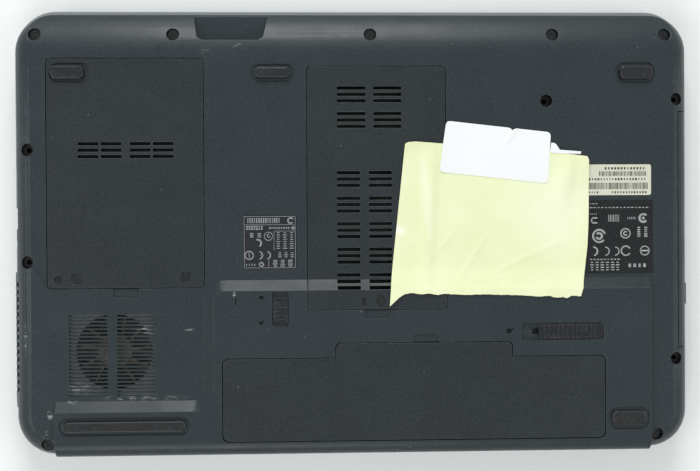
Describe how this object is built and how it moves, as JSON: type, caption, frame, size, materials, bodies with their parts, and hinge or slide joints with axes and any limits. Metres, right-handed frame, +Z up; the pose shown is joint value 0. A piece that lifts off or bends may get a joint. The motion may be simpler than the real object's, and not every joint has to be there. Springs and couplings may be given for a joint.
{
  "type": "broken laptop",
  "caption": "Broken laptop lying closed on its lid, underside up, with a torn note, worn feet, missing screws, removable battery, hinge, keys and disc tray.",
  "frame": {"origin": "centre of the laptop's plan, on the table, at the lid's outer face", "axes": "+X towards the user's right side, +Y towards the front (palm-rest) edge, +Z up out of the underside"},
  "size_m": [0.3822, 0.2504, 0.0374],
  "materials": {
    "lid_gloss": "glossy moulded ABS",
    "deck_plastic": "satin moulded ABS",
    "screen_glass": "dark screen",
    "lens_black": "dark lens and module",
    "steel": "stamped steel",
    "rubber": "worn rubber",
    "screw_black": "black coated steel",
    "case_plastic": "fine-textured moulded ABS, scuffed",
    "cover_plastic": "fine-textured moulded ABS",
    "battery_plastic": "fine-textured moulded ABS",
    "latch_plastic": "satin moulded plastic",
    "label_grey": "printed film",
    "label_beige": "printed paper film",
    "label_black": "printed film",
    "paper_yellow": "creased paper",
    "paper_white": "smooth paper",
    "circuit_board": "glass-fibre board",
    "aluminium": "bare aluminium",
    "copper": "bare copper",
    "fan_plastic": "black moulded plastic",
    "dusty_plastic": "black plastic under grey dust",
    "key_plastic": "satin moulded keys",
    "touchpad_plastic": "smooth satin plastic",
    "button_plastic": "polished plastic"
  },
  "bodies": {
    "lid": {"lid_cover": "lid_gloss", "screen_bezel": "deck_plastic", "display_panel": "screen_glass", "webcam_module": "lens_black", "lid_hinge_arms": "steel", "bezel_bumpers": "rubber", "bezel_screws": "screw_black"},
    "battery": {"battery_pack": "battery_plastic"},
    "release_slider": {"release_latch": "latch_plastic"},
    "lock_slider": {"lock_latch": "latch_plastic"},
    "fan": {"fan_rotor": "dusty_plastic"},
    "tray": {"disc_tray": "deck_plastic", "tray_bezel": "case_plastic"},
    "eject": {"eject_button": "latch_plastic"},
    "function_keys_row": {"function_keys": "key_plastic"},
    "number_keys_row": {"number_keys": "key_plastic"},
    "upper_keys_row": {"upper_keys": "key_plastic"},
    "home_keys_row": {"home_keys": "key_plastic"},
    "lower_keys_row": {"lower_keys": "key_plastic"},
    "bottom_keys_row": {"bottom_keys": "key_plastic"},
    "space_key": {"space_bar": "key_plastic"},
    "left_button": {"left_touch_button": "button_plastic"},
    "right_button": {"right_touch_button": "button_plastic"},
    "power_key": {"power_button": "button_plastic"},
    "base": {"bottom_case": "case_plastic", "palm_rest": "deck_plastic", "hard_drive_cover": "cover_plastic", "memory_cover": "cover_plastic", "rear_left_foot": "rubber", "rear_right_foot": "rubber", "front_left_foot": "rubber", "front_centre_foot": "rubber", "front_right_foot": "rubber", "case_screws": "screw_black", "cover_screws": "screw_black", "certification_label": "label_grey", "serial_label": "label_beige", "regulatory_label": "label_black", "yellow_note": "paper_yellow", "white_sticker": "paper_white", "motherboard": "circuit_board", "processor": "aluminium", "heat_pipe": "copper", "exhaust_fins": "aluminium", "fan_housing": "fan_plastic", "memory_modules": "circuit_board", "hard_drive": "aluminium", "optical_drive": "steel", "keyboard_plate": "steel", "touchpad": "touchpad_plastic", "hinge_brackets": "steel", "hinge_covers": "case_plastic", "speakers": "fan_plastic", "wireless_card": "circuit_board", "network_socket": "steel", "usb_sockets": "steel", "audio_jacks": "fan_plastic", "power_inlet": "fan_plastic", "coin_cell": "steel"}
  },
  "joints": [
    {"name": "lid_hinge", "type": "hinge", "parent": "lid", "child": "base", "pos_m": [0, -0.114, 0.004], "axis": [1, 0, 0], "range_deg": [0, 130]},
    {"name": "fan_spin", "type": "hinge", "parent": "base", "child": "fan", "pos_m": [-0.1347, -0.0654, 0.022], "axis": [0, 0, 1], "continuous": true},
    {"name": "tray_slide", "type": "slide", "parent": "base", "child": "tray", "axis": [1, 0, 0], "range_m": [0, 0.118]},
    {"name": "eject_press", "type": "slide", "parent": "tray", "child": "eject", "axis": [-1, 0, 0], "range_m": [0, 0.0006], "stiffness_N_per_m": 600},
    {"name": "battery_lift", "type": "slide", "parent": "base", "child": "battery", "axis": [0, 0, 1], "range_m": [0, 0.022]},
    {"name": "release_slide", "type": "slide", "parent": "base", "child": "release_slider", "axis": [-1, 0, 0], "range_m": [0, 0.0093], "stiffness_N_per_m": 150},
    {"name": "lock_slide", "type": "slide", "parent": "base", "child": "lock_slider", "axis": [0, 1, 0], "range_m": [0, 0.0032]},
    {"name": "function_keys_press", "type": "slide", "parent": "base", "child": "function_keys_row", "axis": [0, 0, 1], "range_m": [0, 0.0018], "stiffness_N_per_m": 600},
    {"name": "number_keys_press", "type": "slide", "parent": "base", "child": "number_keys_row", "axis": [0, 0, 1], "range_m": [0, 0.0018], "stiffness_N_per_m": 600},
    {"name": "upper_keys_press", "type": "slide", "parent": "base", "child": "upper_keys_row", "axis": [0, 0, 1], "range_m": [0, 0.0018], "stiffness_N_per_m": 600},
    {"name": "home_keys_press", "type": "slide", "parent": "base", "child": "home_keys_row", "axis": [0, 0, 1], "range_m": [0, 0.0018], "stiffness_N_per_m": 600},
    {"name": "lower_keys_press", "type": "slide", "parent": "base", "child": "lower_keys_row", "axis": [0, 0, 1], "range_m": [0, 0.0018], "stiffness_N_per_m": 600},
    {"name": "bottom_keys_press", "type": "slide", "parent": "base", "child": "bottom_keys_row", "axis": [0, 0, 1], "range_m": [0, 0.0018], "stiffness_N_per_m": 600},
    {"name": "space_bar_press", "type": "slide", "parent": "base", "child": "space_key", "axis": [0, 0, 1], "range_m": [0, 0.0018], "stiffness_N_per_m": 600},
    {"name": "left_button_press", "type": "slide", "parent": "base", "child": "left_button", "axis": [0, 0, 1], "range_m": [0, 0.0005], "stiffness_N_per_m": 1500},
    {"name": "right_button_press", "type": "slide", "parent": "base", "child": "right_button", "axis": [0, 0, 1], "range_m": [0, 0.0005], "stiffness_N_per_m": 1500},
    {"name": "power_press", "type": "slide", "parent": "base", "child": "power_key", "axis": [0, 0, 1], "range_m": [0, 0.0008], "stiffness_N_per_m": 1500}
  ]
}
